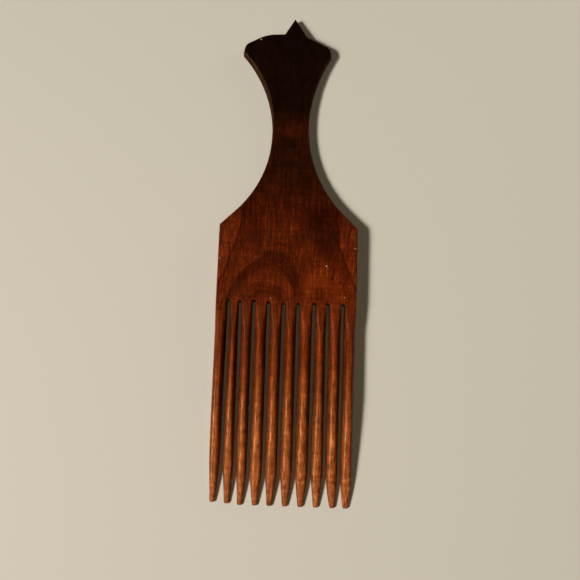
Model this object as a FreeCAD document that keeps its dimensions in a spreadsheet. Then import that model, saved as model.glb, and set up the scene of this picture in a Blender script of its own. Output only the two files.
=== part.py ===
"""A wooden afro pick sawn and carved from one flat board, in millimetres.

The pick lies on its flat back: +X is right, +Y runs from the tooth tips to the crest of the handle,
and +Z is up through the board. The origin is on the back, at the middle of the outline's box.
"""
import FreeCAD
import Part
import Sketcher
import math
import os

# Driving sizes, named from the tips of the teeth to the crest of the handle
SIZES = {
    "plate_width": 63.5,
    "board_thickness": 8.0,
    "arris_radius": 0.8,
    "tooth_length": 90.0,
    "kerf_width": 1.7,
    "root_blend_length": 8.0,
    "front_taper_length": 50.0,
    "side_taper_length": 27.0,
    "tip_width": 2.2,
    "tip_thickness": 2.4,
    "nose_length": 0.8,
    "plate_length": 32.0,
    "shoulder_side": 3.5,
    "shoulder_round": 2.5,
    "shoulder_run": 8.0,
    "waist_rise": 44.5,
    "waist_skew": 4.5,
    "waist_left": 9.3,
    "waist_right": 7.8,
    "flare_rise": 41.5,
    "flare_skew": 1.0,
    "head_left": 24.7,
    "head_right": 17.3,
    "cheek_rise": 3.6,
    "cheek_lean": 0.9,
    "cheek_round": 2.5,
    "brow_rise": 9.1,
    "brow_skew": 1.2,
    "brow_round": 3.0,
    "knee_reach": 15.0,
    "knee_drop": 0.6,
    "knee_round": 9.0,
    "crest_height": 8.4,
    "crest_half_width": 5.0,
    "handle_thinning": 2.5,
    "thinning_length": 75.0,
    "cut_overrun": 2.0,
}

# The slots were sawn by eye: how far each stands off its even place, as shares of the tooth pitch
SLOT_SHIFT_SHARES = (-0.08, -0.26, -0.28, -0.22, -0.15, -0.10, 0.03, 0.02, 0.09)
TOOTH_COUNT = len(SLOT_SHIFT_SHARES) + 1
# How far each tip leans off the middle of its tooth, as shares of the tooth pitch
TIP_LEAN_SHARES = (-0.13, 0.0, 0.0, 0.03, -0.02, 0.01, 0.0, 0.02, 0.14, 0.0)
# How much each tooth falls short of the longest ones, as shares of the tooth length
TIP_SHORT_SHARES = (0.010, 0.005, 0.0, 0.0, 0.0, 0.0, 0.0, 0.0, 0.0, 0.0)
# Rounding of a tooth's front and back arrises, as shares of its half width
FRONT_ROUND_SHARE = 0.9
BACK_ROUND_SHARE = 0.4
# Where sections of a tooth stand in its front taper, as shares of that taper from the tip
TAPER_SECTION_SHARES = (0.75, 0.5, 0.25)
# Size of the blunt end face of a tooth, as a share of the taper's size at the tip
NOSE_END_SHARE = 0.62

# Points of a sketch's elements, and the sketch's own origin and horizontal axis
START, END, CENTRE = range(1, 4)
SKETCH_ORIGIN = -1
HORIZONTAL_AXIS = -1
# Places closer than this are the same place
SAME_PLACE = 1e-4
QUARTER_TURN = math.pi / 2

doc = FreeCAD.newDocument("afro_pick")
sheet = doc.addObject("Spreadsheet::Sheet", "sizes")
for row, (alias, size) in enumerate(SIZES.items(), start=1):
    sheet.set(f"A{row}", alias)
    sheet.set(f"B{row}", str(size))
    sheet.setAlias(f"B{row}", alias)
doc.recompute()

# Lines across the pick from the tips to the crest, as expressions on the sheet
overall_length = ("(sizes.tooth_length + sizes.plate_length + sizes.shoulder_side + sizes.waist_rise"
                  " + sizes.flare_rise + sizes.brow_rise + sizes.crest_height)")
tip_line = f"(-{overall_length} / 2)"
slot_line = f"({tip_line} + sizes.tooth_length)"
join_line = f"({slot_line} + sizes.plate_length)"
shoulder_line = f"({join_line} + sizes.shoulder_side)"
waist_line = f"({shoulder_line} + sizes.waist_rise)"
flare_line = f"({waist_line} + sizes.flare_rise)"
notch_line = f"({flare_line} + sizes.brow_rise)"
crest_line = f"({notch_line} + sizes.crest_height)"
half_plate = "(sizes.plate_width / 2)"
tooth_pitch = f"(sizes.plate_width / {TOOTH_COUNT})"


def add_body(name):
    """A body that holds one named member of the pick"""
    body = doc.addObject("PartDesign::Body", name)
    body.Label = name
    return body


def add_sketch(body, name, role):
    """A sketch on one of the body's own origin planes"""
    sketch = body.newObject("Sketcher::SketchObject", f"{body.Name}_{name}")
    plane = next(feature for feature in body.Origin.OriginFeatures if feature.Role == role)
    sketch.AttachmentSupport = [(plane, "")]
    sketch.MapMode = "FlatFace"
    return sketch


def point_at(sketch, point):
    """Where a point given by two expressions lies on its sketch"""
    across, along = point
    return FreeCAD.Vector(sketch.evalExpression(across), sketch.evalExpression(along), 0)


def bind(sketch, size, kind, *places):
    """Adds a dimension to a sketch and ties it to the sheet"""
    number = sketch.addConstraint(Sketcher.Constraint(kind, *places, sketch.evalExpression(size)))
    sketch.setExpression(f"Constraints[{number}]", size)


def add_arc(sketch, start, end, turn, centre):
    """An arc between two points, one of which is the point where it turns about its centre"""
    middle = centre + (start + end - centre - centre).normalize() * (turn - centre).Length
    return sketch.addGeometry(Part.Arc(start, middle, end), False)


def add_run(sketch, first, last, waists, dips):
    """A straight run between two points, an arc that stands upright where it meets a waist, or an arc that
    leads to a point with a dip, the line on which it lies level"""
    start = point_at(sketch, first)
    end = point_at(sketch, last)
    waist = next((point for point in (first, last) if point in waists), None)
    if waist:
        turn = point_at(sketch, waist)
        reach = start + end - turn - turn
        centre = turn + FreeCAD.Vector(reach.dot(reach) / (2 * reach.x), 0, 0)
        run = add_arc(sketch, start, end, turn, centre)
        bind(sketch, waist[1], "DistanceY", SKETCH_ORIGIN, START, run, CENTRE)
    elif last in dips:
        reach = end - start
        half_way = (start + end) / 2
        level = sketch.evalExpression(dips[last])
        centre = FreeCAD.Vector(level, half_way.y + (half_way.x - level) * reach.x / reach.y, 0)
        run = add_arc(sketch, start, end, end, centre)
        bind(sketch, dips[last], "DistanceX", SKETCH_ORIGIN, START, run, CENTRE)
    else:
        run = sketch.addGeometry(Part.LineSegment(start, end), False)
    if sketch.getPoint(run, START).isEqual(start, SAME_PLACE):
        return run, START, END
    return run, END, START


def add_outline(sketch, points, waists=(), dips={}):
    """A closed outline through points that are given as expressions on the sheet"""
    following = points[1:] + points[:1]
    runs = [add_run(sketch, first, last, waists, dips) for first, last in zip(points, following)]
    for point, (run, head, tail), (before, before_head, before_tail) in zip(points, runs, runs[-1:] + runs):
        sketch.addConstraint(Sketcher.Constraint("Coincident", before, before_tail, run, head))
        bind(sketch, point[0], "DistanceX", SKETCH_ORIGIN, START, run, head)
        bind(sketch, point[1], "DistanceY", SKETCH_ORIGIN, START, run, head)


def add_pad(body, outline):
    """The board's full thickness over an outline"""
    pad = body.newObject("PartDesign::Pad", f"{body.Name}_pad")
    pad.Profile = outline
    pad.setExpression("Length", "sizes.board_thickness")
    doc.recompute()
    return pad


def add_fillet(body, name, base, edges, radius):
    """Rounds the named edges of the body's last feature"""
    fillet = body.newObject("PartDesign::Fillet", f"{body.Name}_{name}")
    fillet.Base = (base, edges)
    fillet.setExpression("Radius", radius)
    doc.recompute()
    return fillet


def is_upright(edge):
    """True for an edge that runs straight up through the board"""
    first, last = (vertex.Point for vertex in edge.Vertexes)
    return abs(first.x - last.x) < SAME_PLACE and abs(first.y - last.y) < SAME_PLACE


def upright_edge(feature, point):
    """The edge that stands at a point of the outline"""
    place = point_at(feature, point)
    for number, edge in enumerate(feature.Shape.Edges, start=1):
        foot = edge.Vertexes[0].Point
        foot.z = 0
        if is_upright(edge) and foot.isEqual(place, SAME_PLACE):
            return f"Edge{number}"
    raise ValueError(f"no upright edge at {point}")


def rim_edges(feature, *cut_lines):
    """The edges round the front and the back of a member, without those along its cut faces"""
    cuts = [feature.evalExpression(line) for line in cut_lines]
    names = []
    for number, edge in enumerate(feature.Shape.Edges, start=1):
        ends = [vertex.Point.y for vertex in edge.Vertexes]
        along_cut = any(max(abs(end - cut) for end in ends) < SAME_PLACE for cut in cuts)
        if not is_upright(edge) and not along_cut:
            names.append(f"Edge{number}")
    return names


def make_back_plate():
    """The flat plate between the slots and the shoulders"""
    body = add_body("back_plate")
    outline = add_sketch(body, "outline", "XY_Plane")
    add_outline(outline, [
        (f"-{half_plate}", slot_line),
        (half_plate, slot_line),
        (half_plate, join_line),
        (f"-{half_plate}", join_line),
    ])
    pad = add_pad(body, outline)
    add_fillet(body, "arris", pad, rim_edges(pad, slot_line, join_line), "sizes.arris_radius")
    return body


def make_handle():
    """Shoulders, waisted neck and flared head with its crest, a little lopsided as carved by eye"""
    body = add_body("handle")
    slope_line = f"({shoulder_line} + sizes.shoulder_run)"
    right_shoulder = (half_plate, shoulder_line)
    right_slope = (f"({half_plate} - sizes.shoulder_run)", slope_line)
    right_waist = ("sizes.waist_right", f"({waist_line} + sizes.waist_skew)")
    right_flare = ("sizes.head_right", f"({flare_line} + sizes.flare_skew)")
    right_cheek = ("(sizes.head_right - sizes.cheek_lean)", f"({flare_line} + sizes.cheek_rise)")
    right_brow = ("(sizes.crest_half_width * (1 + sizes.brow_skew / sizes.crest_height))",
                  f"({notch_line} - sizes.brow_skew)")
    crest = ("0", crest_line)
    notch = ("(-sizes.crest_half_width)", notch_line)
    knee = ("(-sizes.knee_reach)", f"({notch_line} - sizes.knee_drop)")
    left_cheek = ("(sizes.cheek_lean - sizes.head_left)", f"({flare_line} + sizes.cheek_rise)")
    left_flare = ("(-sizes.head_left)", flare_line)
    left_waist = ("(-sizes.waist_left)", waist_line)
    left_slope = (f"(sizes.shoulder_run - {half_plate})", slope_line)
    left_shoulder = (f"(-{half_plate})", shoulder_line)
    outline = add_sketch(body, "outline", "XY_Plane")
    add_outline(outline, [
        (f"(-{half_plate})", join_line), (half_plate, join_line),
        right_shoulder, right_slope, right_waist, right_flare, right_cheek, right_brow,
        crest, notch, knee, left_cheek, left_flare, left_waist, left_slope, left_shoulder,
    ], waists=(right_waist, left_waist))
    pad = add_pad(body, outline)

    # The front falls in one long hollow from the join, is thinnest at the head and rises again to the crest
    slope = add_sketch(body, "slope", "YZ_Plane")
    level_line = f"({join_line} + sizes.thinning_length)"
    far_line = f"({crest_line} + sizes.cut_overrun)"
    hollow_radius = "((sizes.thinning_length^2 + sizes.handle_thinning^2) / (2 * sizes.handle_thinning))"
    far_rise = f"({hollow_radius} - sqrt({hollow_radius}^2 - ({far_line} - {level_line})^2))"
    far_end = (far_line, f"(sizes.board_thickness - sizes.handle_thinning + {far_rise})")
    clear_height = "(sizes.board_thickness + sizes.cut_overrun)"
    add_outline(slope, [
        (join_line, "sizes.board_thickness"),
        far_end,
        (far_line, clear_height),
        (join_line, clear_height),
    ], dips={far_end: level_line})
    planed = body.newObject("PartDesign::Pocket", "handle_planed_front")
    planed.Profile = slope
    planed.Type = "ThroughAll"
    planed.SideType = "Symmetric"
    doc.recompute()
    if planed.Shape.Volume >= pad.Shape.Volume:
        raise ValueError("the front of the handle was not planed")

    last = planed
    for name, points, radius in (
        ("shoulder_round", [right_shoulder], "sizes.shoulder_round"),
        ("cheek_round", [right_cheek, left_cheek], "sizes.cheek_round"),
        ("brow_round", [right_brow], "sizes.brow_round"),
        ("knee_round", [knee], "sizes.knee_round"),
    ):
        edges = [upright_edge(last, point) for point in points]
        last = add_fillet(body, name, last, edges, radius)
    add_fillet(body, "arris", last, rim_edges(last, join_line), "sizes.arris_radius")
    return body


def add_section(body, name, station, middle, half_width, height, front_round, back_round):
    """A cross-section of a tooth: flat on its back, with rounded corners"""
    sketch = add_sketch(body, name, "XZ_Plane")
    sketch.setExpression("AttachmentOffset.Base.z", f"-{station}")
    left = f"({middle} - {half_width})"
    right = f"({middle} + {half_width})"
    low = point_at(sketch, (left, "0"))
    high = point_at(sketch, (right, height))
    front = sketch.evalExpression(front_round)
    back = sketch.evalExpression(back_round)

    def side(start_x, start_y, end_x, end_y):
        line = Part.LineSegment(FreeCAD.Vector(start_x, start_y, 0), FreeCAD.Vector(end_x, end_y, 0))
        return sketch.addGeometry(line, False)

    def corner(centre_x, centre_y, radius, turns):
        circle = Part.Circle(FreeCAD.Vector(centre_x, centre_y, 0), FreeCAD.Vector(0, 0, 1), radius)
        arc = Part.ArcOfCircle(circle, turns * QUARTER_TURN, (turns + 1) * QUARTER_TURN)
        return sketch.addGeometry(arc, False)

    sides = [
        side(low.x + back, low.y, high.x - back, low.y),
        side(high.x, low.y + back, high.x, high.y - front),
        side(high.x - front, high.y, low.x + front, high.y),
        side(low.x, high.y - front, low.x, low.y + back),
    ]
    corners = [
        corner(high.x - back, low.y + back, back, 3),
        corner(high.x - front, high.y - front, front, 0),
        corner(low.x + front, high.y - front, front, 1),
        corner(low.x + back, low.y + back, back, 2),
    ]
    for number, line in enumerate(sides):
        before = sides[number - 1]
        between = corners[number - 1]
        sketch.addConstraint(Sketcher.Constraint("Vertical" if number % 2 else "Horizontal", line))
        sketch.addConstraint(Sketcher.Constraint("Tangent", before, END, between, START))
        sketch.addConstraint(Sketcher.Constraint("Tangent", between, END, line, START))
    sketch.addConstraint(Sketcher.Constraint("Equal", corners[0], corners[3]))
    sketch.addConstraint(Sketcher.Constraint("Equal", corners[1], corners[2]))
    sketch.addConstraint(Sketcher.Constraint("PointOnObject", sides[0], START, HORIZONTAL_AXIS))
    bind(sketch, back_round, "Radius", corners[0])
    bind(sketch, front_round, "Radius", corners[1])
    bind(sketch, right, "DistanceX", SKETCH_ORIGIN, START, sides[1], START)
    bind(sketch, left, "DistanceX", SKETCH_ORIGIN, START, sides[3], START)
    bind(sketch, height, "DistanceY", SKETCH_ORIGIN, START, sides[2], START)
    return sketch


def tapered(full, tip, distance, length):
    """A size that falls from full to tip along a parabola, given the distance from the tip"""
    return f"({full} - ({full} - {tip}) * (1 - {distance} / {length})^2)"


def slot_wall(number, side):
    """Where a wall of a slot stands: side -1 for its left wall and 1 for its right wall"""
    if number == 0 or number == TOOTH_COUNT:
        return half_plate if number else f"(-{half_plate})"
    place = number + SLOT_SHIFT_SHARES[number - 1] - TOOTH_COUNT / 2
    return f"({place} * {tooth_pitch} + {side} * sizes.kerf_width / 2)"


def make_tooth(number):
    """One tooth: flat behind, round in front, tapered in plan and in thickness to a blunt tip"""
    body = add_body(f"tooth_{number:02d}")
    left = slot_wall(number - 1, 1)
    right = slot_wall(number, -1)
    middle = f"(({left} + {right}) / 2)"
    half_width = f"(({right} - {left}) / 2)"
    lean = f"({TIP_LEAN_SHARES[number - 1]} * {tooth_pitch})"
    tip = f"({tip_line} + {TIP_SHORT_SHARES[number - 1]} * sizes.tooth_length)"

    def rounded_section(name, station, centre, half, height):
        front_round = f"({FRONT_ROUND_SHARE} * {half})"
        back_round = f"({BACK_ROUND_SHARE} * {half})"
        return add_section(body, name, station, centre, half, height, front_round, back_round)

    root = add_section(body, "root", slot_line, middle, half_width, "sizes.board_thickness",
                       "sizes.arris_radius", "sizes.arris_radius")
    blend = rounded_section("blend", f"({slot_line} - sizes.root_blend_length)", middle, half_width,
                            "sizes.board_thickness")
    taper = [rounded_section("taper", f"({tip} + sizes.front_taper_length)", middle, half_width,
                             "sizes.board_thickness")]
    distances = [f"({share} * sizes.front_taper_length)" for share in TAPER_SECTION_SHARES]
    distances += ["sizes.nose_length"]
    for order, distance in enumerate(distances, start=1):
        near_tip = f"min({distance}; sizes.side_taper_length)"
        half = tapered(half_width, "sizes.tip_width / 2", near_tip, "sizes.side_taper_length")
        centre = tapered(middle, f"({middle} + {lean})", near_tip, "sizes.side_taper_length")
        height = tapered("sizes.board_thickness", "sizes.tip_thickness", distance, "sizes.front_taper_length")
        taper.append(rounded_section(f"taper_{order}", f"({tip} + {distance})", centre, half, height))
    end_half = f"({NOSE_END_SHARE} * sizes.tip_width / 2)"
    end_height = f"({NOSE_END_SHARE} * sizes.tip_thickness)"
    end = rounded_section("end", tip, f"({middle} + {lean})", end_half, end_height)

    for name, sections, ruled in (
        ("shank", [root, blend, taper[0]], True),
        ("tapered_length", taper, False),
        ("nose", [taper[-1], end], True),
    ):
        loft = body.newObject("PartDesign::AdditiveLoft", f"{body.Name}_{name}")
        loft.Profile = sections[0]
        loft.Sections = sections[1:]
        loft.Ruled = ruled
        doc.recompute()
    return body


members = [make_handle(), make_back_plate()]
members += [make_tooth(number) for number in range(1, TOOTH_COUNT + 1)]
doc.recompute()

for item in doc.Objects:
    if "Invalid" in item.State or "Error" in item.State:
        raise ValueError(f"{item.Name} failed: {item.State}")
for member in members:
    if member.Shape.isNull() or not member.Shape.isValid() or len(member.Shape.Solids) != 1:
        raise ValueError(f"{member.Label} is not one valid solid")

os.makedirs("parts", exist_ok=True)
for member in members:
    member.Shape.exportStep(f"parts/{member.Label}.step")
    print(f"{member.Label}: volume {member.Shape.Volume:.1f}")
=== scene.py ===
import math

import bmesh
import bpy
from mathutils import Matrix, Vector, noise


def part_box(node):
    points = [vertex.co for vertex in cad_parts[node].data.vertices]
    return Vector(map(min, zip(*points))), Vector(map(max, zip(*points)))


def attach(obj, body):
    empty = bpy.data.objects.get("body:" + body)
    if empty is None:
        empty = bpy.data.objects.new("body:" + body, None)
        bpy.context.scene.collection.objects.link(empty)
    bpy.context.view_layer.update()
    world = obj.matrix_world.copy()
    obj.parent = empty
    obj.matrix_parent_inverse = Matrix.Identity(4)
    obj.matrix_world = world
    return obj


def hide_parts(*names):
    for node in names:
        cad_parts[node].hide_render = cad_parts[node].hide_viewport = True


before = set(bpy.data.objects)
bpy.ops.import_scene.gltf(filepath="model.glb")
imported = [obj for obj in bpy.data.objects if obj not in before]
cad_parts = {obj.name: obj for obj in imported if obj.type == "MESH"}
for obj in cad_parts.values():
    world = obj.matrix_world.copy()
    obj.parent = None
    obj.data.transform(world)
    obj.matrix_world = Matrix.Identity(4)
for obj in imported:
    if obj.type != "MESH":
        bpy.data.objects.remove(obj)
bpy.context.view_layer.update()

# An afro pick carved and sawn from one board of mahogany, lying on its flat back. Lengths below are in
# millimetres, places are measured from the middle of the pick, and meshes are made in metres.
MM = 0.001
UP = Vector((0, 0, 1))
ALONG = Vector((0, 1, 0))

# Faces that the members share, and the boxes of the teeth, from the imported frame
plate_high, handle_high = (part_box(name)[1] / MM for name in ("back_plate", "handle"))
BOARD_THICKNESS = plate_high.z
HALF_PLATE = plate_high.x
JOIN_LINE = plate_high.y
CREST_LINE = handle_high.y
tooth_names = sorted(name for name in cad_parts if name.startswith("tooth_"))
tooth_boxes = [[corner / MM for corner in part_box(name)] for name in tooth_names]

# Arrises are rounded by hand to this radius
ARRIS = 0.9
# Facets of an arris, of a rounded corner and of an arc, and the bevel profile that is round
ARRIS_STEPS = 4
CORNER_STEPS = 8
SWING_STEPS = 28
ROUND_PROFILE = 0.5
# Edges that turn by more than this are shaded sharp
SHARP_TURN = math.radians(50)
# A face is a side wall if its normal rises by less than this, and lies in a cut if it is this close to it
WALL_RISE = 0.5
CUT_REACH = 0.001

# The saw stopped at a slightly different depth in each slot: places of the slot ends along the board
SLOT_ENDS = (-23.5, -24.1, -23.6, -24.1, -24.5, -24.4, -24.1, -24.3, -24.2)
SLOT_END_ROUND = 0.5
# The teeth leave the plate this far below the deepest of the slot ends
ROOT_DROP = 1.5
ROOT_LINE = min(SLOT_ENDS) - ROOT_DROP


# Outlines

def spot(x, y):
    """A place on the table"""
    return Vector((x, y, 0))


def straight_to(corner, radius=0.0):
    """A straight run of an outline to a corner, with the radius that rounds it"""
    return corner, radius, None


def swing_to(corner, waist, end):
    """A run of an outline to a corner along the arc that stands upright at a waist and reaches to an end"""
    reach = end - waist
    return corner, 0.0, waist + spot(reach.length_squared / (2 * reach.x), 0)


def draw_outline(bm, runs):
    """Draws a closed outline on the table, fills it and rounds its corners"""
    corner, radius, _ = runs[0]
    last = bmesh.ops.create_vert(bm, co=corner * MM)["vert"][0]
    first = last
    rounds = [(last, radius)]
    for corner, radius, centre in runs[1:]:
        if centre is None:
            last = bmesh.ops.extrude_vert_indiv(bm, verts=[last])["verts"][0]
            last.co = corner * MM
        else:
            begin = (last.co / MM - centre).xy
            turn = begin.angle_signed((corner - centre).xy)
            swung = bmesh.ops.spin(bm, geom=[last], cent=centre * MM, axis=-UP, angle=turn,
                                   steps=SWING_STEPS)
            last = next(item for item in swung["geom_last"] if isinstance(item, bmesh.types.BMVert))
        rounds.append((last, radius))
    bmesh.ops.contextual_create(bm, geom=[last, first])
    bmesh.ops.contextual_create(bm, geom=bm.edges[:])
    for vert, radius in rounds:
        if radius:
            before, after = ((edge.other_vert(vert).co - vert.co).normalized() for edge in vert.link_edges)
            reach = radius / math.tan(before.angle(after) / 2)
            bmesh.ops.bevel(bm, geom=[vert], offset=reach * MM, offset_type="OFFSET",
                            segments=CORNER_STEPS, profile=ROUND_PROFILE, affect="VERTICES", material=-1)


def raise_board(bm):
    """Gives a filled outline the thickness of the board, and returns the vertices of its front"""
    grown = bmesh.ops.extrude_face_region(bm, geom=bm.faces[:])["geom"]
    front = [item for item in grown if isinstance(item, bmesh.types.BMVert)]
    bmesh.ops.translate(bm, verts=front, vec=UP * BOARD_THICKNESS * MM)
    bmesh.ops.recalc_face_normals(bm, faces=bm.faces[:])
    return front


def ease_arrises(bm, cut_lines):
    """Rounds the edges between the flat faces and the side walls, but not those along the cuts"""
    arrises = []
    for edge in bm.edges:
        walls = [face for face in edge.link_faces if abs(face.normal.z) < WALL_RISE]
        if len(walls) != 1:
            continue
        places = [vert.co.y / MM for vert in walls[0].verts]
        if not any(max(abs(place - cut) for place in places) < CUT_REACH for cut in cut_lines):
            arrises.append(edge)
    bmesh.ops.bevel(bm, geom=arrises, offset=ARRIS * MM, offset_type="OFFSET", segments=ARRIS_STEPS,
                    profile=ROUND_PROFILE, affect="EDGES", material=-1, clamp_overlap=True)


def finish_member(bm, node, wood):
    """Turns a modelled member into a piece that stands for its node and takes its finish from a slot"""
    bmesh.ops.recalc_face_normals(bm, faces=bm.faces[:])
    for face in bm.faces:
        face.smooth = True
    for edge in bm.edges:
        edge.smooth = edge.calc_face_angle(math.pi) < SHARP_TURN
    mesh = bpy.data.meshes.new(f"carved_{node}")
    bm.to_mesh(mesh)
    bm.free()
    mesh.materials.append(wood)
    piece = bpy.data.objects.new(f"carved_{node}", mesh)
    bpy.context.scene.collection.objects.link(piece)
    weighted = piece.modifiers.new("flat faces stay flat", "WEIGHTED_NORMAL")
    weighted.keep_sharp = True
    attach(piece, "root")
    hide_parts(node)


# Teeth

# Each tip was filed by eye to one width: the length it narrows over, its form from 0, a plain bullet, to 1,
# drawn in to a neck, and how far it leans off the middle of the tooth
TIP_WIDTH = 2.3
SIDE_TAPERS = (24.0, 20.0, 17.0, 17.0, 17.0, 17.0, 17.0, 17.0, 17.0, 16.0)
NECKING = (0.5, 0.5, 0.75, 0.45, 0.45, 0.4, 0.3, 0.4, 0.1, 0.0)
TIP_LEANS = (-0.5, 0.0, 0.0, 0.2, -0.1, 0.05, 0.0, 0.1, 0.9, 0.0)
# The front falls to the tip over this length, on a curve between a straight slope, 1, and a parabola, 2
TIP_THICKNESS = 1.5
FRONT_TAPER = 50.0
FRONT_CURVE = 1.5
PARABOLA = 2.0
# How far each slot drifts from its line by the time the teeth begin to taper
SLOT_DRIFTS = (-0.35, 0.5, 0.25, 0.35, 0.25, 0.25, 0.05, 0.35, 0.1)
# The saw cut a little narrower away from the slot ends, which leaves the teeth fuller on each side
SLOT_NARROWING = 0.12
# A tooth leaves the plate with eased arrises and is filed round over this length, to these shares of half
# its width. The outer sides of the first and last tooth are filed less.
ROUNDING_LENGTH = 13.0
FRONT_ROUND_SHARE = 0.92
OUTER_ROUND_SHARE = 0.8
BACK_ROUND_SHARE = 0.4
SECTION_STEPS = 10
# Sections stand about this far apart along a tooth. Its blunt nose has closer ones: distance from the tip,
# and share of the full section
SECTION_GAP = 2.5
NOSE_SECTIONS = ((0.9, 1.0), (0.45, 0.95), (0.15, 0.82), (0.0, 0.6))
# The file strayed by up to this much, over waves of this length. Each stroke has its own row in the noise,
# this far from the next, and all lie half way between two planes of its grid.
FILE_WANDER = 0.08
FILE_WAVE = 22.0
STROKE_GAP = 7.3
HALF_WAY = 0.5
# The sides take the first strokes, and the middle line and the front take strokes from these on
MIDDLE_STROKES = 20
FRONT_STROKES = 40


def wander(stroke, place):
    """How far a stroke of the file strayed at a place along the board"""
    return FILE_WANDER * noise.noise(Vector((STROKE_GAP * stroke, place / FILE_WAVE, HALF_WAY)))


def smooth_step(share):
    """A share that leaves 0 and reaches 1 gently"""
    return share * share * (3 - 2 * share)


def tapered(full, tip, distance, length, curve=PARABOLA, necking=0.0):
    """A size that falls from full to tip over the last length before the tip, along a curve that is
    steepest at the tip, or with necking eases out again there"""
    fall = max(0.0, 1 - distance / length)
    return full - (full - tip) * fall ** curve * (1 + 2 * necking * (1 - fall))


def tooth_section(bm, middle, half_width, height, crown, rounds, place):
    """Adds one flat-backed section across a tooth and returns its face. Its corners are rounded while it is
    squat, and it is then drawn up by its crown, so that the rounds become taller than they are wide."""
    section = bmesh.ops.create_grid(bm, x_segments=1, y_segments=1, size=1)["verts"]
    half_height = height / crown / 2
    stand = (Matrix.Translation(UP * half_height * MM)
             @ Matrix.Diagonal((half_width * MM, 1, half_height * MM, 1))
             @ Matrix.Rotation(math.pi / 2, 4, "X"))
    bmesh.ops.transform(bm, verts=section, matrix=stand)
    # Left and right corners of the back, then of the front
    corners = sorted(section, key=lambda vert: (vert.co.z > half_height * MM, vert.co.x))
    for corner, radius in zip(corners, rounds):
        rounded = bmesh.ops.bevel(bm, geom=[corner], offset=radius * MM, offset_type="OFFSET",
                                  segments=SECTION_STEPS, profile=ROUND_PROFILE, affect="VERTICES",
                                  material=-1)
    face = rounded["verts"][0].link_faces[0]
    draw_up = Matrix.Translation(spot(middle, place) * MM) @ Matrix.Diagonal((1, 1, crown, 1))
    bmesh.ops.transform(bm, verts=face.verts[:], matrix=draw_up)
    return face


def carve_tooth(number, wood):
    """One tooth: flat behind, filed round in front, tapered in plan and in thickness to a blunt tip"""
    low, high = tooth_boxes[number]
    is_first, is_last = number == 0, number == len(tooth_names) - 1
    drifts = (0.0,) + SLOT_DRIFTS + (0.0,)
    left_drift = drifts[number] - (0.0 if is_first else SLOT_NARROWING)
    right_drift = drifts[number + 1] + (0.0 if is_last else SLOT_NARROWING)
    round_shares = (BACK_ROUND_SHARE, BACK_ROUND_SHARE,
                    OUTER_ROUND_SHARE if is_first else FRONT_ROUND_SHARE,
                    OUTER_ROUND_SHARE if is_last else FRONT_ROUND_SHARE)
    side_taper = SIDE_TAPERS[number]
    tip_middle = (low.x + high.x) / 2 + TIP_LEANS[number]
    length = ROOT_LINE - low.y
    shank = length - NOSE_SECTIONS[0][0]
    count = round(shank / SECTION_GAP)
    sections = [(length - step * shank / count, 1.0) for step in range(count)]
    bm = bmesh.new()
    faces = []
    for distance, nose in sections + list(NOSE_SECTIONS):
        place = low.y + distance
        filed = smooth_step(min(1.0, (length - distance) / ROUNDING_LENGTH))
        drifted = min(1.0, (length - distance) / (length - side_taper))
        left = low.x + left_drift * drifted
        right = high.x + right_drift * drifted
        half = tapered((right - left) / 2, TIP_WIDTH / 2, distance, side_taper, necking=NECKING[number])
        half -= filed * (FILE_WANDER + wander(number, place)) / 2
        middle = tapered((left + right) / 2, tip_middle, distance, side_taper)
        middle += filed * wander(number + MIDDLE_STROKES, place) / 2
        height = tapered(BOARD_THICKNESS, TIP_THICKNESS, distance, FRONT_TAPER, FRONT_CURVE)
        height -= filed * (FILE_WANDER + wander(number + FRONT_STROKES, place)) / 2
        rounds = [(ARRIS + (share * half - ARRIS) * filed) * nose for share in round_shares]
        crown = 1 + (height / (2 * half) - 1) * filed
        faces.append(tooth_section(bm, middle, half * nose, height * nose, crown, rounds, place))
    loops = [face.edges[:] for face in faces]
    bmesh.ops.delete(bm, geom=faces[1:-1], context="FACES_ONLY")
    for before, after in zip(loops, loops[1:]):
        bmesh.ops.bridge_loops(bm, edges=before + after)
    finish_member(bm, tooth_names[number], wood)


# Plate

def carve_plate(wood):
    """The flat plate, with the ends of the sawn slots in its lower edge"""
    runs = [straight_to(spot(HALF_PLATE, JOIN_LINE)), straight_to(spot(-HALF_PLATE, JOIN_LINE)),
            straight_to(spot(-HALF_PLATE, ROOT_LINE))]
    for before, after, end in zip(tooth_boxes, tooth_boxes[1:], SLOT_ENDS):
        left, right = before[1].x, after[0].x
        runs += [straight_to(spot(left, ROOT_LINE)), straight_to(spot(left, end), SLOT_END_ROUND),
                 straight_to(spot(right, end), SLOT_END_ROUND), straight_to(spot(right, ROOT_LINE))]
    runs += [straight_to(spot(HALF_PLATE, ROOT_LINE))]
    bm = bmesh.new()
    draw_outline(bm, runs)
    raise_board(bm)
    ease_arrises(bm, (JOIN_LINE, ROOT_LINE))
    finish_member(bm, "back_plate", wood)


# Handle

SHOULDER_LINE = 11.0
SHOULDER_RUN = 8.0
RIGHT_SHOULDER_ROUND = 2.5
LEFT_WAIST = spot(-9.3, 55.5)
RIGHT_WAIST = spot(7.8, 60.0)
LEFT_FLARE = spot(-24.7, 96.0)
RIGHT_FLARE = spot(17.5, 95.7)
LEFT_CHEEK = spot(-23.6, 100.2)
LEFT_CHEEK_ROUND = 3.8
RIGHT_CHEEK = spot(16.9, 99.4)
RIGHT_CHEEK_ROUND = 4.0
RIGHT_BROW = spot(5.7, 104.9)
RIGHT_BROW_ROUND = 4.0
KNEE = spot(-13.4, 105.7)
KNEE_ROUND = 16.0
NOTCH = spot(-5.0, 106.1)
CREST = spot(-0.3, CREST_LINE)
# The left wall of the head was cut out of square, and leans outward to the back by up to this much
WALL_LEAN = 1.0
# The front was hollowed from the plate on, by this much, and nearly two thirds of it within this length
HANDLE_THINNING = 2.5
HOLLOW_LENGTH = 22.0
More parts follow.
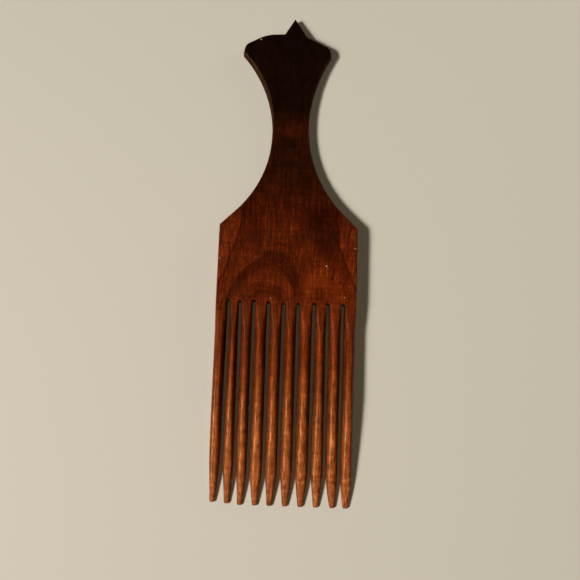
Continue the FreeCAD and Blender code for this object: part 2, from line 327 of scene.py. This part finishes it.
# It falls again up the crest, from this place on
CREST_THINNING = 1.3
CREST_FROM = 104.0
# Lines across the handle that let it follow the hollow stand this far apart
HOLLOW_GAP = 3.0


def handle_thickness(place):
    """Thickness of the handle at a place along the board"""
    behind = (place - JOIN_LINE) / HOLLOW_LENGTH
    up_crest = max(0.0, (place - CREST_FROM) / (CREST_LINE - CREST_FROM))
    return BOARD_THICKNESS - HANDLE_THINNING * (1 - math.exp(-behind * behind)) - CREST_THINNING * up_crest


def carve_handle(wood):
    """Shoulders, waisted neck and flared head with its crest, a little lopsided as carved by eye"""
    left_slope = spot(SHOULDER_RUN - HALF_PLATE, SHOULDER_LINE + SHOULDER_RUN)
    right_slope = spot(HALF_PLATE - SHOULDER_RUN, SHOULDER_LINE + SHOULDER_RUN)
    bm = bmesh.new()
    draw_outline(bm, [
        straight_to(spot(-HALF_PLATE, JOIN_LINE)),
        straight_to(spot(HALF_PLATE, JOIN_LINE)),
        straight_to(spot(HALF_PLATE, SHOULDER_LINE), RIGHT_SHOULDER_ROUND),
        straight_to(right_slope),
        swing_to(RIGHT_WAIST, RIGHT_WAIST, right_slope),
        swing_to(RIGHT_FLARE, RIGHT_WAIST, RIGHT_FLARE),
        straight_to(RIGHT_CHEEK, RIGHT_CHEEK_ROUND),
        straight_to(RIGHT_BROW, RIGHT_BROW_ROUND),
        straight_to(CREST),
        straight_to(NOTCH),
        straight_to(KNEE, KNEE_ROUND),
        straight_to(LEFT_CHEEK, LEFT_CHEEK_ROUND),
        straight_to(LEFT_FLARE),
        swing_to(LEFT_WAIST, LEFT_WAIST, LEFT_FLARE),
        swing_to(left_slope, LEFT_WAIST, left_slope),
        straight_to(spot(-HALF_PLATE, SHOULDER_LINE)),
    ])
    for vert in raise_board(bm):
        share = (vert.co.y / MM - LEFT_WAIST.y) / (LEFT_CHEEK.y - LEFT_WAIST.y)
        if vert.co.x < LEFT_WAIST.x * MM / 2 and 0 < share < 1:
            vert.co.x += WALL_LEAN * MM * math.sin(math.pi * share)
    bm.normal_update()
    ease_arrises(bm, (JOIN_LINE,))
    # A copy is free of the gaps that the bevel left in its lists, which new faces fill in a chance order
    eased = bm.copy()
    bm.free()
    for step in range(1, math.ceil((CREST_LINE - JOIN_LINE) / HOLLOW_GAP)):
        line = ALONG * (JOIN_LINE + step * HOLLOW_GAP)
        bmesh.ops.bisect_plane(eased, geom=eased.verts[:] + eased.edges[:] + eased.faces[:],
                               plane_co=line * MM, plane_no=ALONG)
    for vert in eased.verts:
        vert.co.z *= handle_thickness(vert.co.y / MM) / BOARD_THICKNESS
    finish_member(eased, "handle", wood)


# Materials

# Sockets of a Mix node that take the two colours, and the one that gives the mixed colour
MIX_FROM, MIX_TO, MIXED = 6, 7, 2


def linear(code):
    """An sRGB hex value as linear colour"""
    parts = [int(code[place:place + 2], 16) / 255 for place in (0, 2, 4)]
    return [part / 12.92 if part <= 0.04045 else ((part + 0.055) / 1.055) ** 2.4 for part in parts] + [1.0]


def add_node(tree, kind, inputs, ramp=(), **settings):
    """Adds a node with its settings, fills its inputs with values or links, and its ramp with colours"""
    made = tree.nodes.new(kind)
    for name, value in settings.items():
        setattr(made, name, value)
    for socket, value in inputs.items():
        if isinstance(value, bpy.types.NodeSocket):
            tree.links.new(value, made.inputs[socket])
        else:
            made.inputs[socket].default_value = value
    for number, (place, colour) in enumerate(ramp):
        elements = made.color_ramp.elements
        element = elements[number] if number < len(elements) else elements.new(place)
        element.position = place
        element.color = colour
    return made


# Wood

# The figure wavers, and the fibres sway more gently: size of the waves, their detail and roughness, and how
# far they swing from side to side across, along and through the board
WAVER = (11.0, 5.0, 0.6, (6.0, 6.0, 0.0))
SWAY = (36.0, 1.0, 0.5, (5.0, 0.0, 5.0))
NOISE_MIDDLE = (0.5, 0.5, 0.5)
# Tone of the wood along the board: worn pale at the teeth, dark with oil and handling at the head
TONES = ((-CREST_LINE, "8e4720"), (-84, "8b4016"), (-50, "6a2406"), (-20, "5b1a03"), (10, "441102"),
         (40, "250901"), (58, "2b0901"), (68, "120301"), (CREST_LINE, "0d0301"))
# Handling left a dark skin on the flat faces of the neck and head. Their walls have a paler tone, painted
# light that lights them more than the faces, more and more so between these places along the board, and the
# skin ends where the normal sinks between these rises.
PAINTED_WALL_LIGHT_TONE = "2e1102"
WALL_FROM, WALL_TO = 14.0, 40.0
SKIN_RISE, WALL_FULL_RISE = 0.96, 0.6
# A stop divides red, green and blue by these: dark wood is redder, and pale wood more orange
STOP_STEPS = (2.0, 2.45, 3.2)
# Clouds of the figure: place, half the width and length, turn, and the stops by which they are darker, or
# paler if negative. They fade over this outer share.
FIGURE = (
    (-21.0, -15.0, 9.0, 4.5, 45.0, 0.4),
    (16.5, 9.0, 10.0, 17.0, 8.0, 1.1),
    (-3.0, 12.0, 12.0, 10.0, 0.0, -0.5),
    (14.0, -14.0, 8.0, 9.0, 0.0, -0.5),
    (8.0, -2.5, 6.0, 3.5, 0.0, -0.4),
    (-5.0, 12.0, 1.4, 6.0, 8.0, 0.6),
    (1.5, -19.0, 1.4, 4.5, 5.0, -0.6),
    (-3.0, 50.0, 9.0, 4.5, 10.0, 0.7),
    (1.0, 58.0, 10.0, 5.5, 0.0, -0.7),
)
CLOUD_FADE_SHARE = 0.7
# An arch of darker rings in the plate: its top, how it leans and opens, the places that its foot fades
# between, how dark it is across the rings, and the stops at its darkest
ARCH_TOP = (-6.0, -3.0)
ARCH_LEAN = 0.22
ARCH_OPENING = 0.067
ARCH_FOOT = (-30.0, -21.0)
ARCH_SHADES = ((-22.0, 0.0), (-16.5, 0.6), (-14.5, 0.5), (-12.0, 0.05), (-7.0, 0.15), (-4.5, 0.55),
               (-1.0, 1.0), (0.5, 0.9), (2.0, 0.45), (4.0, 0.0), (22.0, 0.0))
ARCH_STOPS = 1.05
# Fine rings that run with the arch: how far apart, the stops they add or take, the detail of the noise and
# the part of it that shows, and the middle and half the width of the band that they fill
RING_GAP = 1.3
RING_STOPS = 0.45
RING_DETAIL = 1.0
RING_SHOWS = (0.3, 0.7)
RING_BAND = (-5.0, 12.0)
# The long tongue of heartwood in the plate: the place below which it spreads, half its width there, and
# how fast it spreads. Past its edge the wood grows paler over a short way, and a thin dark ring follows it.
TONGUE_TOP = 20.0
TONGUE_HALF = 21.5
TONGUE_SPREAD = 0.0074
OUTSIDE_EDGE = 1.4
OUTSIDE_STOPS = -0.6
TONGUE_RING_HALF = 0.9
TONGUE_RING_STOPS = 1.0
# The teeth show wear, more and more so between these places along the board. Their ridges, where the normal
# stands upright, are paler, partly from wear and partly as a painted highlight, and their flanks are darker
# as painted shade.
WEAR_FROM, WEAR_TO = -28.0, -55.0
FLANK_RISE, RIDGE_RISE = 0.6, 1.0
FLANK_STOPS, RIDGE_STOPS = 0.5, -0.3
# Layers of grain: width across the fibres and length along them, then the part of the noise that shows and
# the stops it adds. Real pores are about 0.2 mm wide and are drawn coarser here, so that they show.
GRAIN = {
    "ripple": (9.0, 1.3, 0.3, 0.7, -0.4, 0.4),
    "mottle": (5.0, 10.0, 0.3, 0.7, -0.3, 0.3),
    "bands": (1.2, 26.0, 0.3, 0.7, -0.45, 0.45),
    "streaks": (0.8, 13.0, 0.3, 0.7, -0.7, 0.7),
    "dashes": (0.55, 4.5, 0.3, 0.7, -0.65, 0.65),
    "pores": (0.5, 2.6, 0.6, 0.68, 0.0, 1.6),
    "flecks": (0.6, 1.4, 0.66, 0.73, 0.0, -1.1),
}
GRAIN_DETAIL = 2.0
# Layers lie this far apart in the noise
LAYER_GAP = 37.0
# How strongly the grain shows on the plate and handle, and on the teeth, where use has polished it
BOARD_GRAIN = 0.8
TOOTH_GRAIN = 0.72
# Small nicks, given by place and half size, and the tone of the bare wood in them
NICKS = ((17.8, -7.1, 8.0, 0.5), (18.4, -8.2, 8.0, 0.25), (30.7, 1.5, 7.9, 0.4), (-31.1, -5.0, 7.9, 0.4),
         (-16.4, 102.8, 5.5, 0.45), (-7.0, -22.6, 8.0, 0.3), (26.3, -21.2, 8.0, 0.3))
BARE_WOOD = "d9b48c"
# Roughness of the oiled wood, from its smoothest to its dullest streaks, and what wear and bare walls add
OILED_ROUGHNESS = (0.3, 0.4)
WORN_ROUGHNESS = -0.03
BARE_ROUGHNESS = 0.7
# Pores and dashes are dents of this depth, and show by this much
DENT_DEPTH = 0.06
DENT_STRENGTH = 0.6
# Oil in the wood: a warm and low reflection
OIL_IOR = 1.5
OIL_SPECULAR = 0.22
OIL_TINT = "ffd08a"


def board_places(tree):
    """Places on the board in millimetres: true ones, then moved as the figure wavers and the fibres sway"""
    coords = add_node(tree, "ShaderNodeTexCoord", {}).outputs["Object"]
    board = add_node(tree, "ShaderNodeVectorMath", {0: coords, "Scale": 1 / MM},
                     operation="SCALE").outputs[0]
    places = [board]
    for size, detail, roughness, reach in (WAVER, SWAY):
        waves = add_node(tree, "ShaderNodeTexNoise",
                         {"Vector": board, "Scale": 1 / size, "Detail": detail, "Roughness": roughness})
        waves = add_node(tree, "ShaderNodeVectorMath", {0: waves.outputs["Color"], 1: NOISE_MIDDLE},
                         operation="SUBTRACT")
        moved = add_node(tree, "ShaderNodeVectorMath", {0: waves.outputs[0], 1: reach, 2: board},
                         operation="MULTIPLY_ADD")
        places.append(moved.outputs[0])
    return places


def painted_lit_dull_walls(tree, rise, y):
    """How much of the paler wall tone, which is painted light, and of the dull finish the wood takes: fully
    so at the walls of the neck and head
    """
    flat = add_node(tree, "ShaderNodeMath", {0: rise}, operation="ABSOLUTE")
    wall = add_node(tree, "ShaderNodeMapRange",
                    {"Value": flat.outputs[0], "From Min": SKIN_RISE, "From Max": WALL_FULL_RISE})
    handled = add_node(tree, "ShaderNodeMapRange", {"Value": y, "From Min": WALL_FROM, "From Max": WALL_TO})
    return add_node(tree, "ShaderNodeMath", {0: wall.outputs[0], 1: handled.outputs[0]},
                    operation="MULTIPLY").outputs[0]


def tone_along(tree, y, walls_painted_lit_and_dull):
    """Tone of the wood along the board, and the paler tone of its walls, which is painted light"""
    share = add_node(tree, "ShaderNodeMapRange",
                     {"Value": y, "From Min": -CREST_LINE, "From Max": CREST_LINE})
    tone = add_node(tree, "ShaderNodeValToRGB", {0: share.outputs[0]},
                    ramp=[((place + CREST_LINE) / (2 * CREST_LINE), linear(code)) for place, code in TONES])
    # The walls take a paler tone here: painted light
    return add_node(tree, "ShaderNodeMix", {0: walls_painted_lit_and_dull, MIX_FROM: tone.outputs[0], MIX_TO: linear(PAINTED_WALL_LIGHT_TONE)},
                    data_type="RGBA").outputs[MIXED]


def figure_clouds(tree, figure):
    """Stops of each cloud of the figure"""
    clouds = []
    for x, y, half_width, half_length, turn, depth in FIGURE:
        cloud = add_node(tree, "ShaderNodeMapping",
                         {"Vector": figure, "Location": (x, y, 0), "Rotation": (0, 0, math.radians(turn)),
                          "Scale": (half_width, half_length, CREST_LINE)}, vector_type="TEXTURE")
        cloud = add_node(tree, "ShaderNodeTexGradient", {"Vector": cloud.outputs[0]},
                         gradient_type="SPHERICAL")
        cloud = add_node(tree, "ShaderNodeMapRange",
                         {"Value": cloud.outputs[1], "From Max": CLOUD_FADE_SHARE, "To Max": depth},
                         interpolation_type="SMOOTHSTEP")
        clouds.append(cloud.outputs[0])
    return clouds


def arch_of_rings(tree, x, y):
    """Stops of the arch in the plate and of the fine rings that run with it, which end above the teeth"""
    rise = add_node(tree, "ShaderNodeMath", {0: y, 1: ARCH_TOP[1]}, operation="SUBTRACT")
    aside = add_node(tree, "ShaderNodeMath", {0: x, 1: ARCH_TOP[0]}, operation="SUBTRACT")
    aside = add_node(tree, "ShaderNodeMath", {0: rise.outputs[0], 1: -ARCH_LEAN, 2: aside.outputs[0]},
                     operation="MULTIPLY_ADD")
    aside = add_node(tree, "ShaderNodeMath", {0: aside.outputs[0], 1: aside.outputs[0]},
                     operation="MULTIPLY")
    arch = add_node(tree, "ShaderNodeMath", {0: aside.outputs[0], 1: ARCH_OPENING, 2: rise.outputs[0]},
                    operation="MULTIPLY_ADD").outputs[0]
    foot = add_node(tree, "ShaderNodeMapRange",
                    {"Value": y, "From Min": ARCH_FOOT[0], "From Max": ARCH_FOOT[1], "To Max": ARCH_STOPS})
    reach = ARCH_SHADES[-1][0]
    shades = add_node(tree, "ShaderNodeMapRange", {"Value": arch, "From Min": -reach, "From Max": reach})
    shades = add_node(tree, "ShaderNodeValToRGB", {0: shades.outputs[0]},
                      ramp=[((place + reach) / (2 * reach), (shade, shade, shade, 1))
                            for place, shade in ARCH_SHADES])
    rings = add_node(tree, "ShaderNodeMath", {0: arch, 1: 1 / RING_GAP}, operation="MULTIPLY")
    rings = add_node(tree, "ShaderNodeTexNoise",
                     {"W": rings.outputs[0], "Scale": 1.0, "Detail": RING_DETAIL}, noise_dimensions="1D")
    rings = add_node(tree, "ShaderNodeMapRange",
                     {"Value": rings.outputs[0], "From Min": RING_SHOWS[0], "From Max": RING_SHOWS[1],
                      "To Min": -RING_STOPS, "To Max": RING_STOPS})
    band = add_node(tree, "ShaderNodeMath", {0: arch, 1: RING_BAND[0], 2: RING_BAND[1]},
                    operation="COMPARE")
    both = add_node(tree, "ShaderNodeMath", {0: rings.outputs[0], 1: band.outputs[0], 2: shades.outputs[0]},
                    operation="MULTIPLY_ADD")
    return add_node(tree, "ShaderNodeMath", {0: both.outputs[0], 1: foot.outputs[0]},
                    operation="MULTIPLY").outputs[0]


def heartwood_tongue(tree, x, y):
    """Stops of the paler wood outside the tongue and of the dark ring at its edge"""
    below = add_node(tree, "ShaderNodeMath", {0: TONGUE_TOP, 1: y}, operation="SUBTRACT")
    below = add_node(tree, "ShaderNodeMath", {0: below.outputs[0], 1: 0.0}, operation="MAXIMUM")
    below = add_node(tree, "ShaderNodeMath", {0: below.outputs[0], 1: PARABOLA}, operation="POWER")
    edge = add_node(tree, "ShaderNodeMath", {0: below.outputs[0], 1: TONGUE_SPREAD, 2: TONGUE_HALF},
                    operation="MULTIPLY_ADD")
    aside = add_node(tree, "ShaderNodeMath", {0: x}, operation="ABSOLUTE")
    past = add_node(tree, "ShaderNodeMath", {0: aside.outputs[0], 1: edge.outputs[0]}, operation="SUBTRACT")
    outside = add_node(tree, "ShaderNodeMapRange",
                       {"Value": past.outputs[0], "From Max": OUTSIDE_EDGE, "To Max": OUTSIDE_STOPS})
    ring = add_node(tree, "ShaderNodeMath", {0: past.outputs[0]}, operation="ABSOLUTE")
    ring = add_node(tree, "ShaderNodeMapRange",
                    {"Value": ring.outputs[0], "From Max": TONGUE_RING_HALF, "To Min": TONGUE_RING_STOPS,
                     "To Max": 0.0})
    return outside.outputs[0], ring.outputs[0]


def wear_and_painted_light_on_ridges(tree, rise, used):
    """Stops of the wear and of the painted highlight and shade across the teeth"""
    # Upright ridges paler, partly wear and partly painted highlight; flanks, walls and back darker as
    # painted shade
    ridge_wear_and_painted_light = add_node(tree, "ShaderNodeMapRange",
                    {"Value": rise, "From Min": FLANK_RISE, "From Max": RIDGE_RISE, "To Min": FLANK_STOPS,
                     "To Max": RIDGE_STOPS})
    return add_node(tree, "ShaderNodeMath", {0: ridge_wear_and_painted_light.outputs[0], 1: used}, operation="MULTIPLY").outputs[0]


def grain_layers(tree, fibre):
    """Stops of each layer of grain, by name"""
    layers = {}
    for number, (name, (width, length, low, high, least, most)) in enumerate(GRAIN.items()):
        stretch = add_node(tree, "ShaderNodeMapping",
                           {"Vector": fibre, "Location": (LAYER_GAP * number, 0, 0),
                            "Scale": (1 / width, 1 / length, 1 / width)})
        layer = add_node(tree, "ShaderNodeTexNoise",
                         {"Vector": stretch.outputs[0], "Scale": 1.0, "Detail": GRAIN_DETAIL})
        layer = add_node(tree, "ShaderNodeMapRange",
                         {"Value": layer.outputs[0], "From Min": low, "From Max": high, "To Min": least,
                          "To Max": most})
        layers[name] = layer.outputs[0]
    return layers


def laid_over(tree, layers):
    """The stops of all layers together"""
    stops = 0.0
    for layer in layers:
        stops = add_node(tree, "ShaderNodeMath", {0: stops, 1: layer}, operation="ADD").outputs[0]
    return stops


def darkened(tree, tone, stops):
    """A tone made darker by stops"""
    fall = add_node(tree, "ShaderNodeMath", {0: stops, 1: -1.0}, operation="MULTIPLY")
    shade = add_node(tree, "ShaderNodeCombineXYZ", {
        axis: add_node(tree, "ShaderNodeMath", {0: step, 1: fall.outputs[0]}, operation="POWER").outputs[0]
        for axis, step in enumerate(STOP_STEPS)})
    return add_node(tree, "ShaderNodeVectorMath", {0: tone, 1: shade.outputs[0]},
                    operation="MULTIPLY").outputs[0]


def nicked(tree, colour, board):
    """A colour with small nicks of bare wood"""
    for x, y, z, half in NICKS:
        nick = add_node(tree, "ShaderNodeMapping",
                        {"Vector": board, "Location": (x, y, z), "Scale": (half, half, half)},
                        vector_type="TEXTURE")
        nick = add_node(tree, "ShaderNodeTexGradient", {"Vector": nick.outputs[0]},
                        gradient_type="SPHERICAL")
        colour = add_node(tree, "ShaderNodeMix",
                          {0: nick.outputs[1], MIX_FROM: colour, MIX_TO: linear(BARE_WOOD)},
                          data_type="RGBA").outputs[MIXED]
    return colour


def satin_shine(tree, streaks, used, walls_painted_lit_and_dull):
    """Roughness of the wood: streaks take oil unevenly, use polishes the teeth, and the walls are dull"""
    shine = add_node(tree, "ShaderNodeMapRange",
                     {"Value": streaks, "From Min": GRAIN["streaks"][-2], "From Max": GRAIN["streaks"][-1],
                      "To Min": OILED_ROUGHNESS[0], "To Max": OILED_ROUGHNESS[1]}).outputs[0]
    for place, change in ((used, WORN_ROUGHNESS), (walls_painted_lit_and_dull, BARE_ROUGHNESS)):
        shine = add_node(tree, "ShaderNodeMath", {0: place, 1: change, 2: shine},
                         operation="MULTIPLY_ADD").outputs[0]
    return shine


def oiled_mahogany():
    """Mahogany, flat-sawn, carved, sanded and oiled: red-brown with dark clouds and a ringed tongue of
    heartwood in the plate, short streaks and open pores along the board, and a low satin shine"""
    material = bpy.data.materials.new("oiled_flat_sawn_mahogany")
    material.use_nodes = True
    tree = material.node_tree
    tree.nodes.clear()
    board, figure, fibre = board_places(tree)
    x, y, _ = add_node(tree, "ShaderNodeSeparateXYZ", {0: figure}).outputs
    normal = add_node(tree, "ShaderNodeNewGeometry", {}).outputs["Normal"]
    rise = add_node(tree, "ShaderNodeSeparateXYZ", {0: normal}).outputs["Z"]
    # Walls of the neck and head: a paler tone as painted light, and a dull finish
    walls_painted_lit_and_dull = painted_lit_dull_walls(tree, rise, y)
    used = add_node(tree, "ShaderNodeMapRange",
                    {"Value": y, "From Min": WEAR_FROM, "From Max": WEAR_TO}).outputs[0]

    layers = grain_layers(tree, fibre)
    shows = add_node(tree, "ShaderNodeMapRange",
                     {"Value": used, "To Min": BOARD_GRAIN, "To Max": TOOTH_GRAIN})
    grain = add_node(tree, "ShaderNodeMath", {0: laid_over(tree, layers.values()), 1: shows.outputs[0]},
                     operation="MULTIPLY").outputs[0]
    # The stops include painted light and shade across the ridges and flanks of the teeth
    stops = laid_over(tree, (*figure_clouds(tree, figure), arch_of_rings(tree, x, y),
                             *heartwood_tongue(tree, x, y), wear_and_painted_light_on_ridges(tree, rise, used), grain))
    colour = nicked(tree, darkened(tree, tone_along(tree, y, walls_painted_lit_and_dull), stops), board)

    relief = add_node(tree, "ShaderNodeMath", {0: layers["dashes"], 1: layers["pores"]}, operation="ADD")
    dents = add_node(tree, "ShaderNodeBump",
                     {"Height": relief.outputs[0], "Strength": DENT_STRENGTH, "Distance": DENT_DEPTH * MM},
                     invert=True)
    shader = add_node(tree, "ShaderNodeBsdfPrincipled",
                      {"Base Color": colour, "Roughness": satin_shine(tree, layers["streaks"], used, walls_painted_lit_and_dull),
                       "IOR": OIL_IOR, "Specular IOR Level": OIL_SPECULAR,
                       "Specular Tint": linear(OIL_TINT), "Normal": dents.outputs[0]})
    add_node(tree, "ShaderNodeOutputMaterial", {"Surface": shader.outputs[0]})
    return material


# Camera: almost straight above, as the photograph was taken

CAMERA_PLACE = Vector((1.6, -75.1, 366.4))
CAMERA_TILT = math.radians(8.96)
CAMERA_ROLL = math.radians(2.0)
CAMERA_LENS = 49.79
CAMERA_SENSOR = 36.0
CAMERA_NEAR = 10.0


def place_camera():
    """Sets up the camera above the pick"""
    camera = bpy.data.objects.new("camera", bpy.data.cameras.new("camera"))
    camera.data.lens = CAMERA_LENS
    camera.data.sensor_width = CAMERA_SENSOR
    camera.data.clip_start = CAMERA_NEAR * MM
    camera.matrix_world = (Matrix.Translation(CAMERA_PLACE * MM) @ Matrix.Rotation(CAMERA_TILT, 4, "X")
                           @ Matrix.Rotation(CAMERA_ROLL, 4, "Z"))
    bpy.context.scene.collection.objects.link(camera)
    bpy.context.scene.camera = camera


# Light: a far lamp high to the left, a soft box in the same direction that brightens the ground nearby, a
# low soft box behind to the right for the walls in shade, a weak one overhead that reaches into the slots,
# and a dim warm room that shows as a pale backdrop

LIT_PLACE = Vector((0.0, -30.0, 0.0))
KEY_PLACE = Vector((-440.0, -180.0, 510.0))
FAR_KEY_POWER = 2.6
FAR_KEY_SPREAD = math.radians(10)
# Place, width and length, power and tint
SOFT_BOXES = {
    "near_soft_box": (KEY_PLACE, (130.0, 200.0), 1.5, "ffffff"),
    "low_soft_box": (Vector((430.0, 330.0, 170.0)), (200.0, 200.0), 0.32, "ffffff"),
    "overhead_soft_box": (Vector((20.0, -130.0, 600.0)), (160.0, 160.0), 0.24, "fff0cc"),
}
ROOM_LIGHT = "211c0f"
BACKDROP = "aaa28f"


def hang_lamp(name, kind, place, power):
    """Hangs a lamp at a place, turned to the pick, and returns it"""
    lamp = bpy.data.lights.new(name, kind)
    lamp.energy = power
    stand = bpy.data.objects.new(name, lamp)
    turn = (LIT_PLACE - place).to_track_quat("-Z", "Y").to_matrix().to_4x4()
    stand.matrix_world = Matrix.Translation(place * MM) @ turn
    bpy.context.scene.collection.objects.link(stand)
    return lamp


def light_studio():
    """Hangs the lamps and lights the room, which the camera sees as a pale backdrop"""
    hang_lamp("far_key_lamp", "SUN", KEY_PLACE, FAR_KEY_POWER).angle = FAR_KEY_SPREAD
    for name, (place, size, power, tint) in SOFT_BOXES.items():
        soft_box = hang_lamp(name, "AREA", place, power)
        soft_box.shape = "RECTANGLE"
        soft_box.size, soft_box.size_y = (side * MM for side in size)
        soft_box.color = linear(tint)[:3]
    world = bpy.data.worlds.new("dim_warm_room")
    bpy.context.scene.world = world
    world.use_nodes = True
    tree = world.node_tree
    seen = add_node(tree, "ShaderNodeLightPath", {}).outputs["Is Camera Ray"]
    room = add_node(tree, "ShaderNodeMix",
                    {0: seen, MIX_FROM: linear(ROOM_LIGHT), MIX_TO: linear(BACKDROP)}, data_type="RGBA")
    tree.links.new(room.outputs[MIXED], tree.nodes["Background"].inputs["Color"])


# Floor: a wide sheet of paper, just below the back of the pick

FLOOR_HALF = 20000.0
FLOOR_DROP = 0.1
PAPER_TONE = "cfc6b5"
PAPER_ROUGHNESS = 0.9
PAPER_SPECULAR = 0.1


def matte_paper():
    """Uncoated paper, rolled: an even, warm, pale matte ground"""
    material = bpy.data.materials.new("matte_uncoated_paper")
    material.use_nodes = True
    shader = material.node_tree.nodes["Principled BSDF"]
    shader.inputs["Base Color"].default_value = linear(PAPER_TONE)
    shader.inputs["Roughness"].default_value = PAPER_ROUGHNESS
    shader.inputs["Specular IOR Level"].default_value = PAPER_SPECULAR
    return material


def lay_floor():
    """Lays the paper under the pick"""
    bm = bmesh.new()
    bmesh.ops.create_grid(bm, x_segments=1, y_segments=1, size=FLOOR_HALF * MM)
    bmesh.ops.translate(bm, verts=bm.verts[:], vec=UP * -FLOOR_DROP * MM)
    mesh = bpy.data.meshes.new("floor")
    bm.to_mesh(mesh)
    bm.free()
    mesh.materials.append(matte_paper())
    floor = bpy.data.objects.new("floor", mesh)
    bpy.context.scene.collection.objects.link(floor)


wood = oiled_mahogany()
carve_handle(wood)
carve_plate(wood)
for number in range(len(tooth_names)):
    carve_tooth(number, wood)
place_camera()
light_studio()
lay_floor()
bpy.context.scene.view_settings.view_transform = "Standard"
